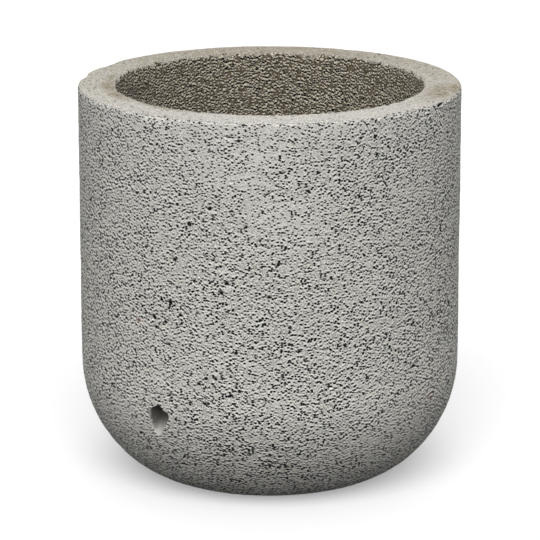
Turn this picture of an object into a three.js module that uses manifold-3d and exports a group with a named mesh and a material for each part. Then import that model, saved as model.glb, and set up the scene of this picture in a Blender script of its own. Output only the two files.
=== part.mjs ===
// A concrete floor planter: one thick round casting with a flat rim, an almost straight wall and a wide
// rounded heel, a rubber bung in its drain hole, and thin rubber pads under its base.
// Millimetres, +Z up. The origin is on the floor, on the axis of the pot. The front is -Y.
import * as THREE from "three";
import { mergeVertices } from "three/addons/utils/BufferGeometryUtils.js";
import Module from "manifold-3d";

const wasm = await Module();
wasm.setup();

// Driving dimensions of the casting
const OUTER_DIAMETER = 400;
const CASTING_HEIGHT = 413.5;
const RIM_WALL = 39.5; // thickness at the rim
const FLOOR_THICKNESS = 45; // from the base to the inner floor
const OUTER_DRAFT = 0.3; // radius lost from the rim to the start of the heel
const INNER_DRAFT = 5; // radius lost from the rim to the start of the inner corner
const HEEL_START = 120.5; // height over the base where the wall starts to turn in
const HEEL_RADIUS = 135.5; // upper part of the heel
const HEEL_SWEEP = 46.3; // degrees turned by the upper part
const SOLE_RADIUS = 101; // lower part of the heel, down to the base
const INNER_CORNER_RADIUS = 95;
const OUTER_LIP_RADIUS = 5;
const INNER_LIP_RADIUS = 4;

// Drain hole and bung
const DRAIN_BOTTOM_RADIUS = 12.5;
const DRAIN_TAPER = 2; // radius gained from the base up to the seat
const PLUG_CLEARANCE = 0.3;
const PLUG_SHORT_OF_BASE = 5; // how far the stem stops above the underside
const PLUG_FLANGE_OVERLAP = 8; // flange past the edge of the hole
const PLUG_FLANGE_THICKNESS = 5;
const PLUG_FLANGE_EDGE = 1.5;
const SEAT_DEPTH = 5; // of the recess in the inner floor that the flange lies in
const SEAT_CLEARANCE = 1; // round the flange
const TAB_WIDTH = 22;
const TAB_HEIGHT = 18;
const TAB_THICKNESS = 6;
const TAB_ROOT = 1; // how far the tab runs down into the flange

// Floor pads
const PAD_COUNT = 4;
const PAD_RADIUS = 17;
const PAD_THICKNESS = 2.5;
const PAD_PROUD = 1; // how far the pads lift the base off the floor
const PAD_CLEARANCE = 0.3; // round the pad in its pocket
const PAD_INSET = 35; // from the edge of the flat base to the pads' centres
const PAD_FIRST_ANGLE = 45; // degrees from +X

// A blind air hole that the casting left low on the front left
const AIR_HOLE_ANGLE = -125; // degrees from +X, seen from above
const AIR_HOLE_HEIGHT = 96; // over the base
const AIR_HOLE_WIDTH = 21;
const AIR_HOLE_TALL = 34;
const AIR_HOLE_DEPTH = 13;

// Fineness of the faceted surfaces
const ROUND_STEPS = 72;
const HEEL_STEPS = 7;
const LIP_STEPS = 3;
const CORNER_STEPS = 9;
const SMALL_ROUND_STEPS = 36;
const TAB_STEPS = 10;
const AIR_HOLE_STEPS = 20; // round it, and a little over half as many from end to end

// Heights and radii that follow
const BASE_Z = PAD_PROUD;
const RIM_Z = BASE_Z + CASTING_HEIGHT;
const FLOOR_Z = BASE_Z + FLOOR_THICKNESS;
const RIM_RADIUS = OUTER_DIAMETER / 2;
const RIM_INNER_RADIUS = RIM_RADIUS - RIM_WALL;
const SEAT_Z = FLOOR_Z - SEAT_DEPTH;
const DRAIN_TOP_RADIUS = DRAIN_BOTTOM_RADIUS + DRAIN_TAPER;
const PLUG_FLANGE_RADIUS = DRAIN_TOP_RADIUS + PLUG_FLANGE_OVERLAP;
const SEAT_RADIUS = PLUG_FLANGE_RADIUS + SEAT_CLEARANCE;

// Points on an arc round (r, z), from one angle to another in radians, both ends included.
function arc(r, z, radius, from, to, steps) {
  const points = [];
  for (let i = 0; i <= steps; i++) {
    const a = from + ((to - from) * i) / steps;
    points.push(new THREE.Vector2(r + radius * Math.cos(a), z + radius * Math.sin(a)));
  }
  return points;
}

// The heel, from the edge of the flat base up to the wall: two arcs that meet in one tangent.
function heelPoints() {
  const wallRadius = RIM_RADIUS - OUTER_DRAFT;
  const sweep = THREE.MathUtils.degToRad(HEEL_SWEEP);
  const upperR = wallRadius - HEEL_RADIUS;
  const upperZ = BASE_Z + HEEL_START;
  const lowerR = upperR + (HEEL_RADIUS - SOLE_RADIUS) * Math.cos(sweep);
  const lowerZ = upperZ - (HEEL_RADIUS - SOLE_RADIUS) * Math.sin(sweep);
  const end = Math.asin(Math.min(1, (lowerZ - BASE_Z) / SOLE_RADIUS));
  const lower = arc(lowerR, lowerZ, SOLE_RADIUS, -end, -sweep, HEEL_STEPS);
  const upper = arc(upperR, upperZ, HEEL_RADIUS, -sweep, 0, HEEL_STEPS);
  return [...lower, ...upper.slice(1)];
}

// The casting's closed outline: base, heel, wall, lip, inner wall, inner corner, floor, seat and drain hole.
function castingOutline() {
  const quarter = Math.PI / 2;
  const outerLipR = RIM_RADIUS - OUTER_LIP_RADIUS;
  const outerLipZ = RIM_Z - OUTER_LIP_RADIUS;
  const innerLipR = RIM_INNER_RADIUS + INNER_LIP_RADIUS;
  const innerLipZ = RIM_Z - INNER_LIP_RADIUS;
  const cornerR = RIM_INNER_RADIUS - INNER_DRAFT - INNER_CORNER_RADIUS;
  const cornerZ = FLOOR_Z + INNER_CORNER_RADIUS;
  return [
    new THREE.Vector2(DRAIN_BOTTOM_RADIUS, BASE_Z),
    ...heelPoints(),
    ...arc(outerLipR, outerLipZ, OUTER_LIP_RADIUS, 0, quarter, LIP_STEPS),
    ...arc(innerLipR, innerLipZ, INNER_LIP_RADIUS, quarter, 2 * quarter, LIP_STEPS),
    ...arc(cornerR, cornerZ, INNER_CORNER_RADIUS, 0, -quarter, CORNER_STEPS),
    new THREE.Vector2(SEAT_RADIUS, FLOOR_Z),
    new THREE.Vector2(SEAT_RADIUS, SEAT_Z),
    new THREE.Vector2(DRAIN_TOP_RADIUS, SEAT_Z),
    new THREE.Vector2(DRAIN_BOTTOM_RADIUS, BASE_Z),
  ];
}

// A surface of revolution about +Z from an outline of (radius, height).
function turned(outline, steps) {
  return new THREE.LatheGeometry(outline, steps).rotateX(Math.PI / 2);
}

function toSolid(geometry) {
  const bare = geometry.clone();
  bare.deleteAttribute("normal");
  bare.deleteAttribute("uv");
  const merged = mergeVertices(bare, 1e-3);
  return new wasm.Manifold(
    new wasm.Mesh({
      numProp: 3,
      vertProperties: merged.getAttribute("position").array,
      triVerts: new Uint32Array(merged.index.array),
    }),
  );
}

function toGeometry(solid) {
  const mesh = solid.getMesh();
  const geometry = new THREE.BufferGeometry();
  geometry.setAttribute("position", new THREE.BufferAttribute(mesh.vertProperties, 3));
  geometry.setIndex(new THREE.BufferAttribute(mesh.triVerts, 1));
  return geometry;
}

// A short upright disc between two heights.
function disc(radius, bottom, top) {
  const height = top - bottom;
  return new THREE.CylinderGeometry(radius, radius, height, SMALL_ROUND_STEPS)
    .rotateX(Math.PI / 2)
    .translate(0, 0, bottom + height / 2);
}

// Where each pad's centre lies, inside the edge of the flat base.
function padCentres() {
  const reach = heelPoints()[0].x - PAD_INSET;
  const centres = [];
  for (let i = 0; i < PAD_COUNT; i++) {
    const angle = THREE.MathUtils.degToRad(PAD_FIRST_ANGLE + (360 * i) / PAD_COUNT);
    centres.push(new THREE.Vector2(reach * Math.cos(angle), reach * Math.sin(angle)));
  }
  return centres;
}

// The outside radius of the casting at a height over the floor.
function skinRadius(height) {
  const skin = [...heelPoints(), new THREE.Vector2(RIM_RADIUS, RIM_Z)];
  const above = skin.findIndex((point) => point.y >= height);
  const low = skin[above - 1];
  const high = skin[above];
  const share = (height - low.y) / (high.y - low.y);
  return low.x + share * (high.x - low.x);
}

// The egg-shaped cutter of the air hole, centred on the casting's skin.
function airHole() {
  const height = BASE_Z + AIR_HOLE_HEIGHT;
  return new THREE.SphereGeometry(1, AIR_HOLE_STEPS, AIR_HOLE_STEPS * 0.6)
    .scale(AIR_HOLE_DEPTH, AIR_HOLE_WIDTH / 2, AIR_HOLE_TALL / 2)
    .translate(skinRadius(height), 0, height)
    .rotateZ(THREE.MathUtils.degToRad(AIR_HOLE_ANGLE));
}

function castingGeometry(centres) {
  let casting = toSolid(turned(castingOutline(), ROUND_STEPS));
  for (const centre of centres) {
    const pocket = disc(PAD_RADIUS + PAD_CLEARANCE, BASE_Z - PAD_PROUD, PAD_THICKNESS);
    casting = casting.subtract(toSolid(pocket.translate(centre.x, centre.y, 0)));
  }
  casting = casting.subtract(toSolid(airHole()));
  return toGeometry(casting);
}

// Tapered stem, flat flange in its seat, and an upright tab to pull it by.
function plugGeometry() {
  const stemBottom = BASE_Z + PLUG_SHORT_OF_BASE;
  const lost = (DRAIN_TAPER * (SEAT_Z - stemBottom)) / (SEAT_Z - BASE_Z);
  const stemTopRadius = DRAIN_TOP_RADIUS - PLUG_CLEARANCE;
  const flangeTop = SEAT_Z + PLUG_FLANGE_THICKNESS;
  const bung = turned(
    [
      new THREE.Vector2(0, stemBottom),
      new THREE.Vector2(stemTopRadius - lost, stemBottom),
      new THREE.Vector2(stemTopRadius, SEAT_Z),
      new THREE.Vector2(PLUG_FLANGE_RADIUS, SEAT_Z),
      new THREE.Vector2(PLUG_FLANGE_RADIUS, flangeTop - PLUG_FLANGE_EDGE),
      new THREE.Vector2(PLUG_FLANGE_RADIUS - PLUG_FLANGE_EDGE, flangeTop),
      new THREE.Vector2(0, flangeTop),
    ],
    SMALL_ROUND_STEPS,
  );
  const half = TAB_WIDTH / 2;
  const shoulder = TAB_HEIGHT - half;
  const face = new THREE.Shape();
  face.moveTo(-half, -TAB_ROOT);
  face.lineTo(half, -TAB_ROOT);
  face.lineTo(half, shoulder);
  face.absarc(0, shoulder, half, 0, Math.PI, false);
  const thickness = { depth: TAB_THICKNESS, bevelEnabled: false, curveSegments: TAB_STEPS };
  const tab = new THREE.ExtrudeGeometry(face, thickness)
    .translate(0, 0, -TAB_THICKNESS / 2)
    .rotateX(Math.PI / 2)
    .translate(0, 0, flangeTop);
  return toGeometry(toSolid(bung).add(toSolid(tab)));
}

function addMesh(group, name, geometry, material) {
  const mesh = new THREE.Mesh(geometry, material);
  mesh.name = name;
  group.add(mesh);
}

const concrete = new THREE.MeshStandardMaterial({ color: 0xa5a19a, roughness: 0.95, metalness: 0 });
const rubber = new THREE.MeshStandardMaterial({ color: 0x2b2b2c, roughness: 0.8, metalness: 0 });

const centres = padCentres();

const planter = new THREE.Group();
addMesh(planter, "planter_shell", castingGeometry(centres), concrete);
addMesh(planter, "drain_plug", plugGeometry(), rubber);
centres.forEach((centre, i) => {
  const pad = disc(PAD_RADIUS, 0, PAD_THICKNESS).translate(centre.x, centre.y, 0);
  addMesh(planter, "floor_pad_" + (i + 1), pad, rubber);
});

export default planter;
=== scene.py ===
import math
import random
from collections import namedtuple

import bmesh
import bpy
from mathutils import Matrix, Vector, kdtree, noise


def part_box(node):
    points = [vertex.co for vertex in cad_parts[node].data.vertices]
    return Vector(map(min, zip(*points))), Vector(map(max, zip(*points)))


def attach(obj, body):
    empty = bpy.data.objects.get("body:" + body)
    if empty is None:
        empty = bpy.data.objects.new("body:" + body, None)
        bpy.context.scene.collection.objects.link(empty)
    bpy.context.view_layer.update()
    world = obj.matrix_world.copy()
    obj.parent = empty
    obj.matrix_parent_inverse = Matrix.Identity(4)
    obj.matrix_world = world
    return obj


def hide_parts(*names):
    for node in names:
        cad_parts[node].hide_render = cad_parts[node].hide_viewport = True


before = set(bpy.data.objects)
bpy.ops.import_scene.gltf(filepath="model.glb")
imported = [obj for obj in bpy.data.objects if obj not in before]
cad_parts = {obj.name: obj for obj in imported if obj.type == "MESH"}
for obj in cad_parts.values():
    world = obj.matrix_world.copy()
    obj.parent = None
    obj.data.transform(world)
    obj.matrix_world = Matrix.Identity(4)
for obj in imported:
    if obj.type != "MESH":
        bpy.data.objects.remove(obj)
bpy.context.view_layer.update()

MM = 0.001

# ---------------------------------------------------------------- sizes

shell_low, shell_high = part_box("planter_shell")
plug_low, plug_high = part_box("drain_plug")
pad_boxes = {name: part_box(name) for name in sorted(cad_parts) if name.startswith("floor_pad_")}

BASE_Z = shell_low.z
RIM_Z = shell_high.z
RIM_RADIUS = shell_high.x

# The casting
RIM_WALL = 39.5 * MM
FLOOR_THICKNESS = 45 * MM
OUTER_DRAFT = 0.3 * MM
INNER_DRAFT = 5 * MM
HEEL_START = 120.5 * MM
HEEL_RADIUS = 135.5 * MM
HEEL_SWEEP = 46.3  # degrees
SOLE_RADIUS = 101 * MM
INNER_CORNER_RADIUS = 95 * MM
OUTER_LIP_RADIUS = 4 * MM
INNER_LIP_RADIUS = 4 * MM
RIM_INNER_RADIUS = RIM_RADIUS - RIM_WALL
INNER_WALL_RADIUS = RIM_INNER_RADIUS - INNER_DRAFT
FLOOR_Z = BASE_Z + FLOOR_THICKNESS

# The drain hole, its seat and the bung
DRAIN_BOTTOM_RADIUS = 12.5 * MM
DRAIN_TAPER = 2 * MM
DRAIN_TOP_RADIUS = DRAIN_BOTTOM_RADIUS + DRAIN_TAPER
PLUG_CLEARANCE = 0.3 * MM
PLUG_FLANGE_RADIUS = plug_high.x
SEAT_CLEARANCE = 1 * MM
SEAT_RADIUS = PLUG_FLANGE_RADIUS + SEAT_CLEARANCE
SEAT_DEPTH = 5 * MM
SEAT_Z = FLOOR_Z - SEAT_DEPTH
TAB_WIDTH = 22 * MM
TAB_THICKNESS = 6 * MM
TAB_ROOT = 3 * MM
RUBBER_EDGE = 1.2 * MM

# The floor pads
PAD_CLEARANCE = 0.3 * MM
PAD_EDGE = 0.5 * MM

# Fineness of the meshes
COLUMNS = 352
SKIN_GRID = 3.2 * MM
LIP_GRID = 1.6 * MM
DEEP_GRID = 11 * MM
SEEN_DEPTH = 0.36  # share of the straight inner wall that shows from outside, and is cut as finely
FLAW_CUTS = 2  # each grid square by a flaw becomes three by three
FLAW_MARGIN = 0.75  # radius of the finely cut area round a flaw, in times its larger side
AIR_HOLE_CUTS = 1  # round the air hole, each of those squares becomes two by two
POCKET_STEPS = 48
RUBBER_STEPS = 96
RUBBER_EDGE_GRID = 0.3 * MM
TAB_GRID = 1.2 * MM
SAME_POINT = 0.01 * MM  # points nearer than this are one
SEAM_MERGE = 0.03 * MM  # and after the tab is joined to the bung, nearer than this
ROUNDED_ANGLE = 60  # degrees: edges sharper than this are rounded
ROUND_STEPS = 3
CASTING_CREASE = 40  # degrees: edges sharper than this are shaded as creases
RUBBER_CREASE = 35

# Unevenness of the casting's faces, each a sum of waves of (height, size) in mm
SWELL = [(0.35, 62), (0.18, 21)]
CAST_WAVES = [(0.22, 8.5), (0.2, 4.2)]
TROWELLED_WAVES = [(0.12, 14), (0.05, 5)]
RAW_WAVES = [(0.5, 8), (0.9, 4)]

# The rim's crumbled edges, and the trowelled paste that hangs over the inner one, in mm
CRUMB = 9  # size of the crumbs
CRUMB_START = 0.08  # the edge is crumbled where its noise is over this
INNER_CRUMBLE = 5.0  # depth for each unit of noise
OUTER_CRUMBLE = 1.4
PASTE_HANG = 2  # how far down it hangs on average
PASTE_WAVER = 5  # for each unit of noise
PASTE_WAVE = 9  # size of that noise
PASTE_FADE = 1.5  # half the height over which it ends

# ---------------------------------------------------------------- flaws of the casting

# angle: degrees from +X seen from above. height: mm over the floor. wide, tall, deep: mm. tilt: degrees.
# dark: how strongly its bottom is darkened with painted shade, 0 to 1.
Flaw = namedtuple("Flaw", "angle height wide tall deep tilt dark")

FRONT_PITS = [
    Flaw(-120.5, 223, 6.6, 7.0, 4.0, 0, 0.9),
    Flaw(-120.9, 217, 4.2, 3.6, 2.5, 0, 0.9),
    Flaw(-126.3, 205, 8.2, 6.8, 4.5, 10, 0.9),
    Flaw(-125.6, 195, 5.4, 4.6, 3.0, 0, 0.8),
    Flaw(-121.0, 179, 5.2, 4.6, 3.0, 0, 0.8),
    Flaw(-104.1, 239, 4.6, 4.6, 3.0, 0, 0.9),
    Flaw(-106.0, 148, 4.6, 4.6, 3.0, 0, 0.9),
    Flaw(-130.0, 126, 7.2, 3.8, 3.0, -8, 0.8),
    Flaw(-120.1, 125, 8.4, 6.4, 3.0, 0, 0.3),
    Flaw(-119.0, 121, 3.4, 2.8, 3.0, 0, 0.9),
    Flaw(-115.8, 123, 6.2, 4.6, 2.5, -15, 0.5),
    Flaw(-113.8, 121, 4.4, 3.2, 2.5, -15, 0.8),
    Flaw(-81.3, 179, 5.6, 3.6, 2.5, 0, 0.8),
    Flaw(-72.3, 140, 5.8, 3.6, 2.5, 0, 0.9),
    Flaw(-41.8, 145, 9.5, 9.0, 4.5, 20, 0.7),
    Flaw(-112.7, 382, 6.0, 2.6, 2.0, 0, 0.9),
    Flaw(-117.9, 57, 12.5, 4.0, 3.5, 4, 0.8),
    Flaw(-130.1, 47, 4.4, 2.6, 2.0, 0, 0.8),
    Flaw(-115.0, 92, 10.5, 3.0, 2.5, 3, 0.6),
    Flaw(-133.3, 75, 6.0, 3.6, 2.5, 0, 0.8),
    Flaw(-134.4, 28, 6.0, 3.4, 2.5, 0, 0.8),
    Flaw(-101.6, 399, 15.0, 2.4, 2.0, -2, 0.7),
    Flaw(-107.6, 325, 5.8, 4.8, 3.0, 30, 0.9),
    Flaw(-106.7, 314, 4.6, 3.2, 2.5, 0, 0.8),
    Flaw(-96.8, 308, 3.6, 4.4, 2.5, 0, 0.9),
    Flaw(-92.8, 294, 4.4, 3.2, 2.5, 0, 0.8),
    Flaw(-106.5, 272, 4.6, 3.4, 2.5, 0, 0.9),
    Flaw(-87.6, 269, 8.0, 2.8, 2.5, 25, 0.9),
    Flaw(-112.6, 249, 4.8, 3.4, 2.5, 0, 0.8),
    Flaw(-102.6, 249, 5.4, 6.4, 3.0, -40, 0.9),
    Flaw(-90.2, 236, 5.6, 4.6, 2.5, 0, 0.7),
    Flaw(-132.3, 107, 7.2, 3.6, 2.5, -10, 0.8),
    Flaw(-112.8, 320, 5.8, 3.4, 2.5, 0, 0.6),
    Flaw(-110.0, 320, 3.8, 3.4, 2.0, 0, 0.6),
    Flaw(-118.7, 269, 6.0, 4.4, 2.5, 0, 0.7),
    Flaw(-100.8, 354, 5.6, 2.8, 1.5, 0, 0.5),
    Flaw(-94.9, 257, 4.6, 3.4, 2.0, 20, 0.7),
    Flaw(-86.7, 363, 7.4, 2.2, 2.0, 0, 0.8),
    Flaw(-90.5, 342, 9.5, 2.0, 2.0, 28, 0.9),
    Flaw(-120.2, 243, 3.8, 3.4, 2.5, 0, 0.8),
    Flaw(-101.1, 312, 4.4, 2.6, 2.0, 0, 0.8),
    Flaw(-109.6, 72, 6.8, 3.2, 2.0, 0, 0.6),
]
SPREAD_PITS = 46  # over the sides and back, of the same kinds
SPREAD_ANGLES = (-22, 202)
SPREAD_HEIGHTS = (26, 398)
PIT_SEED = 7
FLAW_WALL = (1.15, 0.6)  # a flaw's wall drops between these, in flaw radii
FLAW_UNEVEN = 0.3  # how much its outline wavers, as a share of its size
FLAW_WAVE = 2.6  # mm
PIT_SHADE_REACH = 1.15  # how far out from a pit's middle its painted shade fades to nothing, in pit radii

LIP_CHIPS = [
    Flaw(171.0, 412.5, 30.0, 9.0, 1.8, 0, 0.0),
    Flaw(166.3, 412.5, 8.0, 8.0, 2.4, 0, 0.0),
    Flaw(151.0, 412.0, 46.0, 14.0, 1.6, 0, 0.0),
    Flaw(-125.0, 411.5, 44.0, 8.0, 1.2, 0, 0.0),
    Flaw(-12.0, 411.5, 30.0, 8.0, 1.0, 0, 0.2),
    Flaw(-29.6, 411.6, 17.0, 3.4, 2.4, 3, 0.95),
    Flaw(-38.0, 409.6, 6.0, 3.4, 2.0, 20, 0.9),
    Flaw(64.0, 412.0, 22.0, 8.0, 1.2, 0, 0.1),
    Flaw(118.0, 411.5, 9.0, 7.0, 1.8, 0, 0.2),
]
SMALL_CHIP = 18.0  # chips up to this wide, in mm, are cut as finely as the pits

# Rust-brown grains of the aggregate: angle, height over the floor in mm, size in mm
RUSTY_GRAINS = [(-131.7, 199, 4.5), (-33.3, 104, 5.0), (71.0, 236, 4.5), (168.0, 131, 4.0)]

# Damp beige stains on the rim: angle, radius in mm, half length along the rim and half width in mm,
# strength
STAINS = [
    (172, 169, 34, 10, 0.9),
    (-174, 169, 40, 11, 1.0),
    (-157, 170, 34, 10, 1.0),
    (-130, 165, 50, 7, 0.9),
    (-14, 182, 60, 22, 0.85),
    (-18, 187, 34, 13, 1.0),
    (-9, 194, 38, 9, 1.0),
    (14, 178, 60, 22, 0.6),
    (-100, 164, 44, 4, 0.5),
    (90, 180, 320, 60, 0.8),
    (90, 191, 110, 9, 0.8),
    (100, 166, 60, 7, 0.8),
    (145, 168, 60, 9, 0.7),
]

# Smoother, less pored areas of the skin: angle, height over the floor, half width, half height, in mm
SMOOTH_AREAS = [
    (-95, 378, 66, 44),
    (-92, 405, 150, 12),
    (-86, 322, 40, 30),
    (40, 350, 70, 40),
    (160, 240, 60, 45),
    (95, 120, 60, 35),
]

# More open areas, with larger pores, in the same terms
OPEN_AREAS = [
    (-158, 200, 90, 220),
    (-22, 200, 90, 220),
    (-90, 50, 150, 60),
    (90, 40, 300, 60),
]

# The air hole low on the front left: where it is, and its outline as (across, up) in mm from its centre,
# seen from outside
AIR_HOLE_ANGLE = -125
AIR_HOLE_HEIGHT = 97.5
AIR_HOLE_OUTLINE = [
    (0.6, 16.2), (4.2, 14.4), (5.4, 11.8), (9.6, 10.0), (12.4, 8.0), (12.9, 3.6), (12.0, 0.2), (8.4, -4.2),
    (6.2, -8.0), (2.6, -13.6), (0.6, -17.6), (-4.2, -21.8), (-6.4, -19.0), (-10.4, -15.8), (-12.0, -9.0),
    (-12.9, -2.0), (-12.4, 5.0), (-11.0, 9.6), (-7.4, 11.8), (-3.0, 13.8),
]
AIR_HOLE_DEPTH = 18.0
AIR_HOLE_FLOOR_SLOPE = 1.05
AIR_HOLE_SIDE_SLOPE = 4.5
AIR_HOLE_WAVES = (0.5, 4)  # height and size of its uneven bottom
AIR_HOLE_DARK_FROM = -22.0  # its cast face keeps its own colour up to here, and is darkened with painted shade from there up
AIR_HOLE_DARK_TO = -5.0
AIR_HOLE_REACH = 27.0  # radius of the finely cut area round it
AIR_HOLE_CORE = 0.8 * AIR_HOLE_REACH  # radius of the still finer one
AIR_HOLE_SNAP = 0.55  # the mesh within this distance of the outline is moved onto it

# ---------------------------------------------------------------- casting


def arc(centre, radius, start, end, spacing):
    """Points on an arc round (r, z), from one angle to another in degrees, both ends included."""
    steps = max(2, math.ceil(radius * math.radians(abs(end - start)) / spacing))
    angles = [math.radians(start + (end - start) * i / steps) for i in range(steps + 1)]
    return [(centre[0] + radius * math.cos(a), centre[1] + radius * math.sin(a)) for a in angles]


def between(start, end, spacing):
    """Evenly spaced points of a straight stretch, without its ends."""
    steps = math.ceil(math.dist(start, end) / spacing)
    return [
        (start[0] + (end[0] - start[0]) * i / steps, start[1] + (end[1] - start[1]) * i / steps)
        for i in range(1, steps)
    ]


def casting_outline():
    """(radius, height) from the edge of the flat base, up the heel and wall, over the rim, down the inside
    to the floor, into the bung's seat and down the drain hole."""
    sweep = math.radians(HEEL_SWEEP)
    heel = (RIM_RADIUS - OUTER_DRAFT - HEEL_RADIUS, BASE_Z + HEEL_START)
    step = HEEL_RADIUS - SOLE_RADIUS
    sole = (heel[0] + step * math.cos(sweep), heel[1] - step * math.sin(sweep))
    sole_end = math.degrees(math.asin((sole[1] - BASE_Z) / SOLE_RADIUS))
    outer_lip = (RIM_RADIUS - OUTER_LIP_RADIUS, RIM_Z - OUTER_LIP_RADIUS)
    inner_lip = (RIM_INNER_RADIUS + INNER_LIP_RADIUS, RIM_Z - INNER_LIP_RADIUS)
    corner = (INNER_WALL_RADIUS - INNER_CORNER_RADIUS, FLOOR_Z + INNER_CORNER_RADIUS)
    wall_top = (RIM_INNER_RADIUS, inner_lip[1])
    wall_foot = (INNER_WALL_RADIUS, corner[1])
    seen_to = tuple(top + SEEN_DEPTH * (foot - top) for top, foot in zip(wall_top, wall_foot))
    # Each stretch with the spacing of the straight run that leads to it
    stretches = [
        (arc(sole, SOLE_RADIUS, -sole_end, -HEEL_SWEEP, SKIN_GRID), SKIN_GRID),
        (arc(heel, HEEL_RADIUS, -HEEL_SWEEP, 0, SKIN_GRID)[1:], SKIN_GRID),
        (arc(outer_lip, OUTER_LIP_RADIUS, 0, 90, LIP_GRID), SKIN_GRID),
        (arc(inner_lip, INNER_LIP_RADIUS, 90, 180, LIP_GRID), SKIN_GRID),
        ([seen_to], SKIN_GRID),
        (arc(corner, INNER_CORNER_RADIUS, 0, -90, DEEP_GRID), DEEP_GRID),
        ([(SEAT_RADIUS, FLOOR_Z)], DEEP_GRID),
        ([(SEAT_RADIUS, SEAT_Z)], SEAT_DEPTH),
        ([(DRAIN_TOP_RADIUS, SEAT_Z)], DEEP_GRID),
        ([(DRAIN_BOTTOM_RADIUS, BASE_Z)], DEEP_GRID),
    ]
    outline = []
    for stretch, spacing in stretches:
        if outline:
            outline += between(outline[-1], stretch[0], spacing)
        outline += stretch
    return outline


def turn(mesh, outline, steps):
    """Spins an outline of (radius, height) a full turn round the pot's axis."""
    points = [mesh.verts.new((r, 0, z)) for r, z in outline]
    edges = [mesh.edges.new(pair) for pair in zip(points, points[1:])]
    bmesh.ops.spin(
        mesh, geom=points + edges, cent=(0, 0, 0), axis=(0, 0, 1), dvec=(0, 0, 0),
        angle=2 * math.pi, steps=steps, use_merge=True,
    )


def cut_pad_pockets(mesh):
    """A shallow round pocket over each floor pad, left open in the plane of the base."""
    for low, high in pad_boxes.values():
        middle = (low + high) / 2
        radius = (high.x - low.x) / 2 + PAD_CLEARANCE
        rings = [
            bmesh.ops.create_circle(
                mesh, cap_ends=capped, segments=POCKET_STEPS, radius=radius,
                matrix=Matrix.Translation((middle.x, middle.y, height)),
            )["verts"]
            for height, capped in ((BASE_Z, False), (high.z, True))
        ]
        edges = {edge for ring in rings for vert in ring for edge in vert.link_edges}
        bmesh.ops.bridge_loops(mesh, edges=list(edges))


def skin_point(outline, angle, height):
    """The point of the outer skin at an angle in degrees and a height in metres over the floor."""
    rim_top = max(outline, key=lambda point: point[1])
    outer = outline[:outline.index(rim_top) + 1]
    radius = min(outer, key=lambda point: abs(point[1] - height))[0]
    turned = math.radians(angle)
    return Vector((radius * math.cos(turned), radius * math.sin(turned), height))


def refine(mesh, centres, cuts):
    """Cuts the grid finer round each (centre, radius)."""
    tree = kdtree.KDTree(len(mesh.verts))
    mesh.verts.ensure_lookup_table()
    for i, vert in enumerate(mesh.verts):
        tree.insert(vert.co, i)
    tree.balance()
    near = {i for centre, radius in centres for _, i, _ in tree.find_range(centre, radius)}
    edges = {edge for i in near for face in mesh.verts[i].link_faces for edge in face.edges}
    bmesh.ops.subdivide_edges(mesh, edges=list(edges), cuts=cuts, use_grid_fill=True)


def smoothstep(low, high, value):
    share = min(1.0, max(0.0, (value - low) / (high - low)))
    return share * share * (3 - 2 * share)


def outline_distance(point, outline):
    """Distance from a point to a closed outline, positive inside, and the nearest point of the outline."""
    inside = False
    nearest = None
    for start, end in zip(outline, outline[1:] + outline[:1]):
        a, b = Vector(start), Vector(end)
        along = min(1.0, max(0.0, (point - a).dot(b - a) / (b - a).length_squared))
        foot = a + (b - a) * along
        if nearest is None or (point - foot).length < (point - nearest).length:
            nearest = foot
        if (a.y > point.y) != (b.y > point.y):
            if point.x < a.x + (point.y - a.y) / (b.y - a.y) * (b.x - a.x):
                inside = not inside
    distance = (point - nearest).length
    return (distance if inside else -distance), nearest


class Skin:
    """The casting's mesh while it is sculpted: its zones are float attributes that the material reads."""

    ZONES = ("rim", "inside", "stain", "smooth", "open", "cavity", "shade", "painted_pit_shade", "rust")

    def __init__(self, mesh, outline):
        self.mesh = mesh
        self.outline = outline
        self.zone = {name: mesh.verts.layers.float.new(name) for name in self.ZONES}
        mesh.verts.ensure_lookup_table()
        mesh.normal_update()
        self.tree = kdtree.KDTree(len(mesh.verts))
        for i, vert in enumerate(mesh.verts):
            self.tree.insert(vert.co, i)
        self.tree.balance()

    def near(self, centre, reach):
        return [self.mesh.verts[i] for _, i, _ in self.tree.find_range(centre, reach)]

    def frame_at(self, centre):
        """Across and up, as seen from outside, and the outward normal, at a point of the skin."""
        normal = self.mesh.verts[self.tree.find(centre)[1]].normal.copy()
        normal.normalize()
        across = Vector((-centre.y, centre.x, 0)).normalized()
        return across, normal.cross(across), normal

    def raise_zone(self, vert, name, value):
        vert[self.zone[name]] = max(vert[self.zone[name]], value)


def angle_off(vert, angle):
    """How far round the pot a vertex lies from an angle, in radians."""
    turned = math.degrees(math.atan2(vert.co.y, vert.co.x))
    return math.radians((turned - angle + 180) % 360 - 180)


def mark_stains(skin, vert):
    """How damp the trowelled rim is at a vertex."""
    radius = math.hypot(vert.co.x, vert.co.y) / MM
    for angle, at_radius, long, wide, strength in STAINS:
        along = angle_off(vert, angle) * at_radius / long
        across = (radius - at_radius) / wide
        skin.raise_zone(vert, "stain", strength * math.exp(-(along * along + across * across)))


def mark_areas(skin, vert):
    """How smooth and how open the outer skin is at a vertex."""
    for name, areas in (("smooth", SMOOTH_AREAS), ("open", OPEN_AREAS)):
        for angle, height, wide, tall in areas:
            across = angle_off(vert, angle) * RIM_RADIUS / MM / wide
            up = (vert.co.z / MM - height) / tall
            skin.raise_zone(vert, name, math.exp(-(across * across + up * up)))


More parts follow.
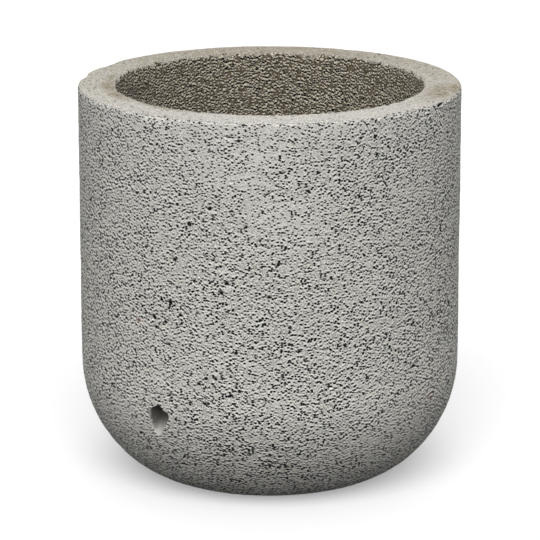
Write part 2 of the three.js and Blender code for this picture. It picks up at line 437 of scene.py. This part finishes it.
def mark_zones(skin):
    """Where the trowelled rim and the raw inside are, from the casting's shape before it is roughened."""
    for vert in skin.mesh.verts:
        radius = math.hypot(vert.co.x, vert.co.y)
        if vert.co.z > RIM_Z - OUTER_LIP_RADIUS:
            vert[skin.zone["rim"]] = smoothstep(0.3, 0.95, vert.normal.z)
        if radius < RIM_INNER_RADIUS + INNER_LIP_RADIUS and vert.co.z > SEAT_Z - MM:
            smeared_to = PASTE_HANG + PASTE_WAVER * noise.noise(vert.co / (PASTE_WAVE * MM))
            depth = (RIM_Z - vert.co.z) / MM
            raw = smoothstep(smeared_to - PASTE_FADE, smeared_to + PASTE_FADE, depth)
            vert[skin.zone["inside"]] = raw
            vert[skin.zone["rim"]] = 1 - vert[skin.zone["inside"]]
        if vert[skin.zone["rim"]] > 0:
            mark_stains(skin, vert)
        elif radius > RIM_INNER_RADIUS or vert.normal.z < 0:
            mark_areas(skin, vert)


def waves(place, layers):
    """Height in mm of a sum of noise waves at a place in mm."""
    return sum(height * noise.noise(place / size) for height, size in layers)


def relief(skin, vert):
    """How far the cast surface stands proud of its true form at a vertex, in mm. The base and the bung's
    seat stay true."""
    place = vert.co / MM
    radius = math.hypot(place.x, place.y) * MM
    if vert.co.z < SEAT_Z + 2 * MM and radius < SEAT_RADIUS + MM:
        return 0.0
    if vert.co.z < BASE_Z + 2 * MM:
        return 0.0
    rim = vert[skin.zone["rim"]]
    inside = vert[skin.zone["inside"]]
    trowelled = rim * waves(place, TROWELLED_WAVES)
    raw = inside * waves(place, RAW_WAVES)
    wall = (1 - rim) * (1 - inside) * waves(place, CAST_WAVES)
    lip = 4 * rim * (1 - rim)
    crumbled = -max(0.0, noise.noise(place / CRUMB + Vector((40, 0, 0))) - CRUMB_START) * lip
    crumbled *= INNER_CRUMBLE if radius < RIM_INNER_RADIUS + INNER_LIP_RADIUS else OUTER_CRUMBLE
    return waves(place, SWELL) + trowelled + raw + wall + crumbled


def sink_flaw(skin, flaw):
    """Presses an uneven oval pit into the skin."""
    centre = skin_point(skin.outline, flaw.angle, flaw.height * MM)
    across, up, normal = skin.frame_at(centre)
    tilt = math.radians(flaw.tilt)
    reach = max(flaw.wide, flaw.tall) * MM
    for vert in skin.near(centre, reach):
        off = (vert.co - centre) / MM
        u, v = off.dot(across), off.dot(up)
        a = (u * math.cos(tilt) + v * math.sin(tilt)) / (flaw.wide / 2)
        b = (v * math.cos(tilt) - u * math.sin(tilt)) / (flaw.tall / 2)
        off_middle = math.hypot(a, b) * (1 + FLAW_UNEVEN * noise.noise(vert.co / (FLAW_WAVE * MM)))
        vert.co -= normal * flaw.deep * smoothstep(*FLAW_WALL, off_middle) * MM
        # painted shade in the pit, strongest at its middle
        skin.raise_zone(vert, "painted_pit_shade", flaw.dark * (1 - off_middle / PIT_SHADE_REACH))


def open_air_hole(skin):
    """The blind air hole: steep sides, a roof darkened with painted shade, and a floor that climbs to its
    pointed lower lip.
    """
    centre = skin_point(skin.outline, AIR_HOLE_ANGLE, AIR_HOLE_HEIGHT * MM)
    across, up, normal = skin.frame_at(centre)
    lowest = min(point[1] for point in AIR_HOLE_OUTLINE)
    uneven, wave = AIR_HOLE_WAVES
    for vert in skin.near(centre, AIR_HOLE_REACH * MM):
        off = (vert.co - centre) / MM
        at = Vector((off.dot(across), off.dot(up)))
        inside, nearest = outline_distance(at, AIR_HOLE_OUTLINE)
        if abs(inside) < AIR_HOLE_SNAP:  # its rim follows the outline crisply
            moved = nearest - at
            vert.co += (across * moved.x + up * moved.y) * MM
            inside = 0.0
        if inside <= 0:
            continue
        deep = min(AIR_HOLE_DEPTH, AIR_HOLE_FLOOR_SLOPE * (at.y - lowest), AIR_HOLE_SIDE_SLOPE * inside)
        deep += uneven * noise.noise(vert.co / (wave * MM)) * min(1.0, inside / 3)
        vert.co -= normal * max(0.0, deep) * MM
        skin.raise_zone(vert, "cavity", smoothstep(0.0, 0.6, inside))
        # painted shade, darker towards the hole's roof
        skin.raise_zone(vert, "shade", smoothstep(AIR_HOLE_DARK_FROM, AIR_HOLE_DARK_TO, at.y))


def spread_pits():
    """Pits like those of the front over the sides and back, which the photograph doesn't show."""
    draw = random.Random(PIT_SEED)
    pits = []
    for _ in range(SPREAD_PITS):
        wide = draw.uniform(3.6, 8.0)
        pits.append(Flaw(
            angle=draw.uniform(*SPREAD_ANGLES),
            height=draw.uniform(*SPREAD_HEIGHTS),
            wide=wide,
            tall=wide * draw.uniform(0.45, 0.9),
            deep=wide * draw.uniform(0.45, 0.6),
            tilt=draw.uniform(-30, 30),
            dark=draw.uniform(0.6, 0.9),
        ))
    return pits


def true_casting(outline):
    """The casting in its true form, in one closed skin, with its pad pockets and drain hole."""
    mesh = bmesh.new()
    turn(mesh, outline, COLUMNS)
    cut_pad_pockets(mesh)
    open_edges = [edge for edge in mesh.edges if edge.is_boundary]
    bmesh.ops.triangle_fill(mesh, use_beauty=True, edges=open_edges, normal=(0, 0, -1))
    bmesh.ops.recalc_face_normals(mesh, faces=mesh.faces)
    return mesh


def refine_flaws(mesh, outline, pits):
    """Cuts the skin's grid finer where pits, small chips, rusty grains and the air hole come."""
    spots = []
    for flaw in pits + [chip for chip in LIP_CHIPS if chip.wide <= SMALL_CHIP]:
        reach = max(flaw.wide, flaw.tall) * FLAW_MARGIN * MM
        spots.append((skin_point(outline, flaw.angle, flaw.height * MM), reach))
    for angle, height, size in RUSTY_GRAINS:
        spots.append((skin_point(outline, angle, height * MM), size * MM))
    hole = skin_point(outline, AIR_HOLE_ANGLE, AIR_HOLE_HEIGHT * MM)
    refine(mesh, spots + [(hole, AIR_HOLE_REACH * MM)], FLAW_CUTS)
    refine(mesh, [(hole, AIR_HOLE_CORE * MM)], AIR_HOLE_CUTS)


def mark_rusty_grains(skin):
    for angle, height, size in RUSTY_GRAINS:
        centre = skin_point(skin.outline, angle, height * MM)
        for vert in skin.near(centre, size * MM):
            off = (vert.co - centre).length / (size / 2 * MM)
            skin.raise_zone(vert, "rust", smoothstep(1.2, 0.5, off))


def concrete_casting(material):
    """The whole casting, roughened, pitted and chipped."""
    outline = casting_outline()
    mesh = true_casting(outline)
    pits = FRONT_PITS + spread_pits()
    refine_flaws(mesh, outline, pits)
    skin = Skin(mesh, outline)
    mark_zones(skin)
    raised = [(vert, vert.normal * relief(skin, vert) * MM) for vert in mesh.verts]
    for flaw in pits + LIP_CHIPS:
        sink_flaw(skin, flaw)
    open_air_hole(skin)
    for vert, offset in raised:
        vert.co += offset * (1 - vert[skin.zone["cavity"]])
    mark_rusty_grains(skin)
    return finished_piece(mesh, "concrete_casting", material, CASTING_CREASE)


def placed(name, data):
    """A new object in the scene, at the origin."""
    item = bpy.data.objects.new(name, data)
    bpy.context.scene.collection.objects.link(item)
    return item


def finished_piece(mesh, name, material, sharp_angle):
    """A shaded object from a bmesh, at the origin, with its place in its mesh."""
    data = bpy.data.meshes.new(name)
    mesh.to_mesh(data)
    mesh.free()
    data.shade_smooth()
    data.set_sharp_from_angle(angle=math.radians(sharp_angle))
    data.materials.append(material)
    return placed(name, data)


# ---------------------------------------------------------------- rubber pieces


def thicken(mesh, face, offset, edge_radius):
    """Draws a flat face out by an offset into a closed slab, and rounds its edges."""
    pulled = bmesh.ops.extrude_face_region(mesh, geom=[face])["geom"]
    moved = [item for item in pulled if isinstance(item, bmesh.types.BMVert)]
    bmesh.ops.translate(mesh, verts=moved, vec=offset)
    bmesh.ops.recalc_face_normals(mesh, faces=mesh.faces)
    edges = [edge for edge in mesh.edges if edge.calc_face_angle(0) > math.radians(ROUNDED_ANGLE)]
    bmesh.ops.bevel(
        mesh, geom=edges, offset=edge_radius, offset_type="OFFSET", segments=ROUND_STEPS, profile=0.5,
        affect="EDGES", material=-1,
    )


def bung_body():
    """The bung's tapered stem, and the rounded flange that fills its seat."""
    stem_bottom = plug_low.z
    stem_top = DRAIN_TOP_RADIUS - PLUG_CLEARANCE
    taper = DRAIN_TAPER * (SEAT_Z - stem_bottom) / (SEAT_Z - BASE_Z)
    corner = (stem_top - taper - RUBBER_EDGE, stem_bottom + RUBBER_EDGE)
    flange = (PLUG_FLANGE_RADIUS - RUBBER_EDGE, FLOOR_Z - RUBBER_EDGE)
    outline = [(0, stem_bottom)]
    outline += arc(corner, RUBBER_EDGE, -90, 0, RUBBER_EDGE_GRID)
    outline += [(stem_top, SEAT_Z), (PLUG_FLANGE_RADIUS, SEAT_Z)]
    outline += arc(flange, RUBBER_EDGE, 0, 90, RUBBER_EDGE_GRID)
    outline += [(0, FLOOR_Z)]
    mesh = bmesh.new()
    turn(mesh, outline, RUBBER_STEPS)
    bmesh.ops.remove_doubles(mesh, verts=mesh.verts, dist=SAME_POINT)
    bmesh.ops.recalc_face_normals(mesh, faces=mesh.faces)
    return mesh


def pull_tab():
    """The bung's arched tab, with its root in the flange."""
    half = TAB_WIDTH / 2
    shoulder = plug_high.z - half
    root = FLOOR_Z - TAB_ROOT
    outline = [(half, root)] + arc((0, shoulder), half, 0, 180, TAB_GRID) + [(-half, root)]
    mesh = bmesh.new()
    face = mesh.faces.new([mesh.verts.new((x, -TAB_THICKNESS / 2, z)) for x, z in outline])
    thicken(mesh, face, (0, TAB_THICKNESS, 0), RUBBER_EDGE)
    return mesh


def drain_bung(material):
    """A moulded rubber bung: its body and pull tab joined in one closed skin."""
    bung = finished_piece(bung_body(), "drain_bung", material, RUBBER_CREASE)
    tab = finished_piece(pull_tab(), "pull_tab", material, RUBBER_CREASE)
    join = bung.modifiers.new("tab", "BOOLEAN")
    join.operation = "UNION"
    join.solver = "EXACT"
    join.object = tab
    depsgraph = bpy.context.evaluated_depsgraph_get()
    joined = bpy.data.meshes.new_from_object(bung.evaluated_get(depsgraph))
    bung.modifiers.remove(join)
    bung.data = joined
    bpy.data.objects.remove(tab)
    seam = bmesh.new()
    seam.from_mesh(joined)
    bmesh.ops.remove_doubles(seam, verts=seam.verts, dist=SEAM_MERGE)
    bmesh.ops.dissolve_degenerate(seam, edges=seam.edges, dist=SAME_POINT)
    seam.to_mesh(joined)
    seam.free()
    return bung


def floor_pad(name, low, high, material):
    """A disc punched from rubber sheet, its edges just broken."""
    mesh = bmesh.new()
    middle = (low + high) / 2
    bottom = bmesh.ops.create_circle(
        mesh, cap_ends=True, segments=POCKET_STEPS, radius=(high.x - low.x) / 2,
        matrix=Matrix.Translation((middle.x, middle.y, low.z)),
    )
    face = bottom["verts"][0].link_faces[0]
    thicken(mesh, face, (0, 0, high.z - low.z), PAD_EDGE)
    return finished_piece(mesh, name, material, RUBBER_CREASE)


# ---------------------------------------------------------------- materials


def colour(code):
    """An sRGB hex colour as the linear values that shaders take."""
    channels = [int(code[i:i + 2], 16) / 255 for i in (1, 3, 5)]
    return [c / 12.92 if c <= 0.04045 else ((c + 0.055) / 1.055) ** 2.4 for c in channels] + [1.0]


def add(tree, kind, inputs=(), **settings):
    """Adds a shader node. Its inputs come in the order of its sockets, or by name, and are values, or
    sockets or nodes that feed them. A node feeds from its first output in use."""
    node = tree.nodes.new("ShaderNode" + kind)
    for name, value in settings.items():
        setattr(node, name, value)
    sockets = [socket for socket in node.inputs if socket.enabled]
    if isinstance(inputs, dict):
        sockets = [next(socket for socket in sockets if socket.name == name) for name in inputs]
        inputs = inputs.values()
    for socket, value in zip(sockets, inputs):
        if isinstance(value, bpy.types.Node):
            value = next(output for output in value.outputs if output.enabled)
        if isinstance(value, bpy.types.NodeSocket):
            tree.links.new(value, socket)
        else:
            socket.default_value = value
    return node


def blank_material(name):
    material = bpy.data.materials.new(name)
    material.use_nodes = True
    material.node_tree.nodes.clear()
    return material, material.node_tree


# Real sizes of the concrete's texture, in mm
PORE_SPACING = 3.3
SMALLEST_PORE = 0.29  # radius, as a share of the spacing
LARGEST_PORE = 0.5
PORE_FLATNESS = 1.4  # the pores lie flat, this many times wider than tall
PORE_DEPTH = 1.6
ROW_DIP = 14  # degrees that their rows dip to the front
ROW_WAVE = 18.0
ROW_WANDER = 3.5
LIP_OFFSET = 1.65  # the lips, raised and painted pale as highlights, lie this far over and under a pore
LIP_HEIGHT = 0.5
GRAIN = 1.4
GRAIN_HEIGHT = 2.0
BROKEN_EDGE = 3.0
TROWELLED_HEIGHT = 0.4
PATCH = 34.0
VOID_SPACING = 26.0
PINHOLE_SPACING = 6.0
PINHOLE_DEPTH = 0.5
DAMP_SPOT = 3.5

# How the pores' radius changes, as a share of their spacing
PATCHY = 0.03  # up and down from patch to patch
SMOOTH = -0.06
OPEN = 0.06
CLOSED = -0.6  # on the air hole's cast face, which has no pores


def pore_rows(tree, mm):
    """Places in flattened rows that dip to the front and wander, for the patterns that follow them."""
    drift = add(tree, "TexNoise", {"Vector": mm, "Scale": 1 / ROW_WAVE, "Detail": 1.0})
    swing = add(tree, "VectorMath", (drift.outputs["Color"], (0.5, 0.5, 0.5)), operation="SUBTRACT")
    wander = add(tree, "VectorMath", (swing, ROW_WANDER), operation="SCALE")
    bent = add(tree, "VectorMath", (mm, wander), operation="ADD")
    return add(tree, "Mapping", {
        "Vector": bent, "Rotation": (math.radians(ROW_DIP), 0, 0), "Scale": (1, 1, 1 / PORE_FLATNESS),
    }, vector_type="TEXTURE")


def pore_mask(tree, rows, raised, edge, openness):
    """1 in the pores and 0 between them, with the pattern raised by some mm."""
    moved = add(tree, "VectorMath", (rows, (0, 0, -raised * PORE_FLATNESS)), operation="ADD")
    cells = add(tree, "TexVoronoi", {"Vector": moved, "Scale": 1 / PORE_SPACING})
    draw = add(tree, "SeparateColor", (cells.outputs["Color"],))
    size = add(tree, "MapRange", (draw, 0, 1, SMALLEST_PORE, LARGEST_PORE))
    reach = add(tree, "Math", (size, openness), operation="ADD")
    within = add(tree, "Math", (reach, cells.outputs["Distance"]), operation="SUBTRACT")
    uneven = add(tree, "Math", (within, edge), operation="ADD")
    return add(tree, "MapRange", (uneven, -0.03, 0.05), interpolation_type="SMOOTHSTEP")


def void_mask(tree, rows, edge):
    """1 in the few larger voids and 0 between them."""
    cells = add(tree, "TexVoronoi", {"Vector": rows, "Scale": 1 / VOID_SPACING})
    uneven = add(tree, "Math", (edge, 0.6, cells.outputs["Distance"]), operation="MULTIPLY_ADD")
    return add(tree, "MapRange", (uneven, 0.1, 0.075), interpolation_type="SMOOTHSTEP")


def pinhole_mask(tree, mm):
    """1 in the rim's round pinholes, of which some are left out at random, and 0 between them."""
    cells = add(tree, "TexVoronoi", {"Vector": mm, "Scale": 1 / PINHOLE_SPACING})
    draw = add(tree, "SeparateColor", (cells.outputs["Color"],))
    kept = add(tree, "MapRange", (draw, 0.55, 0.6))
    dot = add(tree, "MapRange", (cells.outputs["Distance"], 0.25, 0.17))
    return add(tree, "Math", (dot, kept), operation="MULTIPLY")


def zone_mask(tree, level, ragged):
    """1 in a zone and 0 outside it, with a ragged edge."""
    uneven = add(tree, "Math", (level, ragged), operation="ADD")
    return add(tree, "MapRange", (uneven, 0.35, 0.65), interpolation_type="SMOOTHSTEP")


def skin_openness(tree, mm, zone):
    """Where the cement skin is more or less open, as a change of the pores' radius."""
    patch = add(tree, "TexNoise", {"Vector": mm, "Scale": 1 / PATCH, "Detail": 1.0})
    patchy = add(tree, "MapRange", (patch, 0.3, 0.7, PATCHY, -PATCHY))
    smoothed = add(tree, "Math", (zone["smooth"], SMOOTH, patchy), operation="MULTIPLY_ADD")
    opened = add(tree, "Math", (zone["open"], OPEN, smoothed), operation="MULTIPLY_ADD")
    return add(tree, "Math", (zone["cavity"], CLOSED, opened), operation="MULTIPLY_ADD")


def cement_skin(tree, zone, grain_tone_and_shade, painted_lip_highlight, holes, ragged):
    """Colour of the cement skin: sandy, darker in its grain's hollows and lighter on its tops as painted
    shade and highlight, with painted highlights on the lips round its holes, which are painted near black as
    shade, and plainer where it is smooth. The air hole's cast face is darkened towards its roof with painted
    shade."""
    # grain tone, with painted shade in the grain's hollows and painted highlight on its tops
    skin = add(tree, "Mix", (grain_tone_and_shade, colour("#88867f"), colour("#f9f7f0")), data_type="RGBA")
    # painted highlights: the lips over and under each pore are painted near white
    skin = add(tree, "Mix", (painted_lip_highlight, skin, colour("#fffdf6")), data_type="RGBA")
    bare = add(tree, "Math", (zone["smooth"], 0.5), operation="MULTIPLY")
    skin = add(tree, "Mix", (bare, skin, colour("#eceae3")), data_type="RGBA")
    # painted shade: the pores and voids are painted near black, for the shade in their depths
    skin = add(tree, "Mix", (holes, skin, colour("#0b0a09")), data_type="RGBA")
    # painted shade in the air hole: its cast face darker towards the roof
    painted_roof_shade = add(tree, "Math", (ragged, 0.5, zone["shade"]), operation="MULTIPLY_ADD")
    cast = add(tree, "Mix", (painted_roof_shade, colour("#cbcac4"), colour("#6b6862")), data_type="RGBA")
    return add(tree, "Mix", (zone["cavity"], skin, cast), data_type="RGBA")


def raw_inside(tree, grain, grain_tone_and_shade, painted_lip_highlight, holes):
    """Colour of the raw inside: brown, darker in its grain's hollows as painted shade, with pale flakes
    painted as highlights where its lips meet raised grains, and the same holes as the skin, painted near
    black as shade.
    """
    # grain tone, with painted shade in the grain's hollows
    raw = add(tree, "Mix", (grain_tone_and_shade, colour("#1c1811"), colour("#847a65")), data_type="RGBA")
    flaky = add(tree, "MapRange", (grain, 0.3, 0.5), interpolation_type="SMOOTHSTEP")
    # pale flakes: painted highlights where the lips cross the grain's raised tops
    flake_highlights = add(tree, "Math", (painted_lip_highlight, flaky), operation="MULTIPLY")
    raw = add(tree, "Mix", (flake_highlights, raw, colour("#f6eddb")), data_type="RGBA")
    # painted shade: the holes are painted near black
    return add(tree, "Mix", (holes, raw, colour("#080705")), data_type="RGBA")


def trowelled_rim(tree, mm, stain, grain_tone_and_shade, pinholes):
    """Colour of the trowelled rim: fine sand, mottled damp stains, and pinholes painted dark as shade."""
    # on the rim the grain gives tone only, as the rim's bumps follow another noise
    face = add(tree, "Mix", (grain_tone_and_shade, colour("#7a7770"), colour("#e0ddd7")), data_type="RGBA")
    spots = add(tree, "TexNoise", {"Vector": mm, "Scale": 1 / DAMP_SPOT, "Detail": 3.0, "Roughness": 0.6})
    mottle = add(tree, "MapRange", (spots, 0.38, 0.6, 0.5, 1.0), interpolation_type="SMOOTHSTEP")
    damp = add(tree, "Math", (stain, mottle), operation="MULTIPLY")
    face = add(tree, "Mix", (damp, face, colour("#766b50")), data_type="RGBA")
    # painted shade: the pinholes are painted dark
    return add(tree, "Mix", (pinholes, face, colour("#2c2822")), data_type="RGBA")


def concrete_material():
    """Dry-cast concrete: a pale warm-grey cement skin, open with small flat pores that lie in wavy rows,
    painted dark as shade and with painted highlights on their lips. The rim is trowelled smooth, and the
    inside is raw, brown with soil damp and darker in its gaps as painted shade."""
    material, tree = blank_material("dry_cast_concrete")
    place = add(tree, "TexCoord").outputs["Object"]
    mm = add(tree, "VectorMath", (place, 1 / MM), operation="SCALE")
    zone = {name: add(tree, "Attribute", attribute_name=name).outputs["Fac"] for name in Skin.ZONES}
    rows = pore_rows(tree, mm)

    # Grains of cement and sand, and the ragged edges that they give pores and zones
    grain = add(tree, "TexNoise", {"Vector": rows, "Scale": 1 / GRAIN, "Detail": 2.0, "Roughness": 0.6})
    # the grain's tone, which on the skin and inside also follows its bump: darker in the hollows as painted
    # shade and lighter on the tops as painted highlight
    grain_tone_and_shade = add(tree, "MapRange", (grain, 0.3, 0.7), interpolation_type="SMOOTHSTEP")
    edge = add(tree, "MapRange", (grain, 0.2, 0.8, -0.07, 0.07))
    broken = add(tree, "TexNoise", {"Vector": mm, "Scale": 1 / BROKEN_EDGE, "Detail": 2.0, "Roughness": 0.6})
    ragged = add(tree, "MapRange", (broken, 0.2, 0.8, -0.27, 0.27))
    rim = zone_mask(tree, zone["rim"], ragged)
    inside = zone_mask(tree, zone["inside"], ragged)

    # Pores with their lips, which carry painted highlights, larger voids, and the rim's pinholes
    openness = skin_openness(tree, mm, zone)
    pores = pore_mask(tree, rows, 0, edge, openness)
    over = pore_mask(tree, rows, LIP_OFFSET, 0, openness)
    under = pore_mask(tree, rows, -LIP_OFFSET, 0, openness)
    lips = add(tree, "Math", (over, under), operation="MAXIMUM")
    # how strongly the lips are painted as highlights
    painted_lip_highlight = add(tree, "Math", (lips, 0.8), operation="MULTIPLY")
    holes = add(tree, "Math", (pores, void_mask(tree, rows, edge)), operation="MAXIMUM")
    pinholes = pinhole_mask(tree, mm)

    # Colour of all zones, then the painted shade in the pits and chips, and the rusty grains
    skin = cement_skin(tree, zone, grain_tone_and_shade, painted_lip_highlight, holes, ragged)
    raw = raw_inside(tree, grain, grain_tone_and_shade, painted_lip_highlight, holes)
    face = trowelled_rim(tree, mm, zone["stain"], grain_tone_and_shade, pinholes)
    tone = add(tree, "Mix", (inside, skin, raw), data_type="RGBA")
    tone = add(tree, "Mix", (rim, tone, face), data_type="RGBA")
    # painted shade in the pits and chips, with a ragged edge
    pit_shade_edge = add(tree, "Math", (edge, 0.6, zone["painted_pit_shade"]), operation="MULTIPLY_ADD")
    painted_pit_shade = add(tree, "MapRange", (pit_shade_edge, 0.28, 0.38), interpolation_type="SMOOTHSTEP")
    tone = add(tree, "Mix", (painted_pit_shade, tone, colour("#1b1915")), data_type="RGBA")
    tone = add(tree, "Mix", (zone["rust"], tone, colour("#7a4a2c")), data_type="RGBA")

    # Height in mm
    sunk = add(tree, "Math", (holes, -PORE_DEPTH), operation="MULTIPLY")
    lipped = add(tree, "Math", (lips, LIP_HEIGHT, sunk), operation="MULTIPLY_ADD")
    open_height = add(tree, "Math", (grain, GRAIN_HEIGHT, lipped), operation="MULTIPLY_ADD")
    pinned = add(tree, "Math", (pinholes, -PINHOLE_DEPTH), operation="MULTIPLY")
    rim_height = add(tree, "Math", (broken, TROWELLED_HEIGHT, pinned), operation="MULTIPLY_ADD")
    height = add(tree, "Mix", (rim, open_height, rim_height))
    bump = add(tree, "Bump", {"Height": height, "Strength": 1.0, "Distance": MM})

    shader = add(tree, "BsdfPrincipled", {
        "Base Color": tone, "Roughness": 0.92, "IOR": 1.5, "Diffuse Roughness": 0.3,
        "Specular IOR Level": 0.3, "Normal": bump,
    })
    add(tree, "OutputMaterial", (shader,))
    return material


def rubber_material():
    """Moulded black rubber, matt, with a dusty bloom and a faint grain from the mould."""
    material, tree = blank_material("moulded_rubber")
    place = add(tree, "TexCoord").outputs["Object"]
    bloom = add(tree, "TexNoise", {"Vector": place, "Scale": 1 / (9 * MM), "Detail": 4.0, "Roughness": 0.65})
    mould = add(tree, "TexNoise", {"Vector": place, "Scale": 1 / (0.7 * MM), "Detail": 2.0})
    dusty = add(tree, "Mix", (bloom, colour("#2a2a2b"), colour("#4d4b48")), data_type="RGBA")
    rough = add(tree, "MapRange", (bloom, 0, 1, 0.62, 0.88))
    bump = add(tree, "Bump", {"Height": mould, "Strength": 0.4, "Distance": 0.08 * MM})
    shader = add(tree, "BsdfPrincipled", {
        "Base Color": dusty, "Roughness": rough, "IOR": 1.52, "Normal": bump,
    })
    add(tree, "OutputMaterial", (shader,))
    return material


# ---------------------------------------------------------------- studio

CAMERA_DISTANCE = 3.5
CAMERA_TILT = 14.87  # degrees down
CAMERA_AIM_Z = 0.21176
CAMERA_SIDESTEP = 0.25 * MM
FRAME_PIXELS = 540
FOCAL_PIXELS = 3304.86
SENSOR_WIDTH = 36

SKY_LEVEL = 0.44
FLOOR_BOUNCE = "#303030"
FLOOR_SEEN = "#d5d5d5"
FLOOR_SIZE = 60
FLOOR_LIFT = 0.345  # light that the camera sees in the floor, so that its shadow stays soft
UNDER_POT = (60 * MM, 90 * MM)  # the floor under the pot's middle, seen down the drain hole, gets none


def seen_directly(tree):
    """1 for rays from the camera, in a mirror or through glass, which see the white surroundings."""
    ray = add(tree, "LightPath").outputs
    shine = add(tree, "Math", (ray["Is Camera Ray"], ray["Is Glossy Ray"]), operation="ADD")
    return add(tree, "Math", (shine, ray["Is Transmission Ray"]), operation="ADD", use_clamp=True)


def studio_floor():
    mesh = bmesh.new()
    bmesh.ops.create_grid(mesh, x_segments=1, y_segments=1, size=FLOOR_SIZE)
    data = bpy.data.meshes.new("studio_floor")
    mesh.to_mesh(data)
    mesh.free()
    floor = placed("studio_floor", data)
    material, tree = blank_material("white_paper")
    direct = seen_directly(tree)
    shade = add(tree, "Mix", (direct, colour(FLOOR_BOUNCE), colour(FLOOR_SEEN)), data_type="RGBA")
    paper = add(tree, "BsdfDiffuse", (shade,))
    place = add(tree, "TexCoord").outputs["Object"]
    off_axis = add(tree, "VectorMath", (place,), operation="LENGTH")
    lifted = add(tree, "MapRange", (off_axis, *UNDER_POT, 0, FLOOR_LIFT))
    lift = add(tree, "Math", (direct, lifted), operation="MULTIPLY")
    glow = add(tree, "Emission", {"Strength": lift})
    seen = add(tree, "AddShader", (paper, glow))
    add(tree, "OutputMaterial", (seen,))
    data.materials.append(material)


def studio_sky():
    world = bpy.data.worlds.new("studio")
    world.use_nodes = True
    tree = world.node_tree
    tree.nodes.clear()
    level = add(tree, "MapRange", (seen_directly(tree), 0, 1, SKY_LEVEL, 1))
    sky = add(tree, "Background", {"Strength": level, "Color": (1, 1, 1, 1)})
    add(tree, "OutputWorld", (sky,))
    bpy.context.scene.world = world


def soft_lamp(name, bearing, height, strength, softness):
    """A distant soft lamp. Bearing is in degrees from the front, positive to the right, height over the
    horizon. Softness is how wide it is seen, in degrees."""
    lamp = bpy.data.lights.new(name, "SUN")
    lamp.energy = strength * math.pi
    lamp.angle = math.radians(softness)
    holder = placed(name, lamp)
    holder.rotation_euler = (math.radians(90 - height), 0, math.radians(bearing))


def studio_camera():
    lens = bpy.data.cameras.new("camera")
    lens.sensor_width = SENSOR_WIDTH
    lens.lens = FOCAL_PIXELS / FRAME_PIXELS * SENSOR_WIDTH
    camera = placed("camera", lens)
    tilt = math.radians(CAMERA_TILT)
    camera.location = (
        CAMERA_SIDESTEP,
        -CAMERA_DISTANCE * math.cos(tilt),
        CAMERA_AIM_Z + CAMERA_DISTANCE * math.sin(tilt),
    )
    camera.rotation_euler = (math.pi / 2 - tilt, 0, 0)
    bpy.context.scene.camera = camera
    bpy.context.scene.view_settings.view_transform = "Standard"


# ---------------------------------------------------------------- the scene

studio_camera()
studio_floor()
studio_sky()
soft_lamp("key_softbox", -4, 43, 0.85, 50)
soft_lamp("fill_softbox", 40, 35, 0.06, 80)
soft_lamp("back_softbox", 180, 55, 0.17, 60)

concrete = concrete_material()
rubber = rubber_material()

casting = concrete_casting(concrete)
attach(casting, "planter")
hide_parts("planter_shell")

bung = drain_bung(rubber)
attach(bung, "plug")
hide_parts("drain_plug")

for node, (low, high) in pad_boxes.items():
    pad = floor_pad(node.replace("floor_pad", "rubber_pad"), low, high, rubber)
    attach(pad, "planter")
    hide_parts(node)
